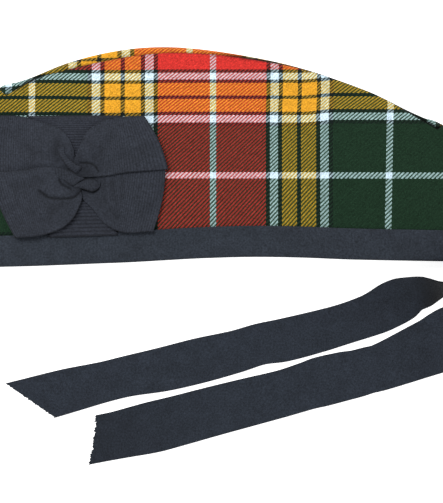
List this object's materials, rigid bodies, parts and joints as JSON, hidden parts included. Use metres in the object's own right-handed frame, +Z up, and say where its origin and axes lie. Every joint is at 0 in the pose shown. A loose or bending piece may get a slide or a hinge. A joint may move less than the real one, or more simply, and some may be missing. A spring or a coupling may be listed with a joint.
{
  "type": "tartan cap",
  "caption": "Folding tartan highland cap lying on its side, with a bound rim, a ribbon cockade and ribbon tails.",
  "frame": {"origin": "middle of the underside of the side panel that the cap rests on", "axes": "+X from the front seam to the back seam, +Y from the rim to the ridge, +Z up from the table"},
  "size_m": [0.3148, 0.2504, 0.0365],
  "materials": {
    "tartan_side": "wool twill in a red, green, yellow and white tartan",
    "tartan_top": "the same wool twill tartan",
    "binding": "black grosgrain binding, matte",
    "cockade_ribbon": "black grosgrain ribbon, matte with a faint rib",
    "tail_ribbon": "black grosgrain ribbon, matte"
  },
  "bodies": {
    "root": {"crown_left": "tartan_side", "crown_right": "tartan_side", "crown_top": "tartan_top", "rim_band": "binding", "cockade_back_loop": "cockade_ribbon", "cockade_rear_bow": "cockade_ribbon", "cockade_front_bow": "cockade_ribbon", "cockade_knot": "cockade_ribbon", "tail_upper": "tail_ribbon", "tail_lower": "tail_ribbon"}
  },
  "joints": []
}
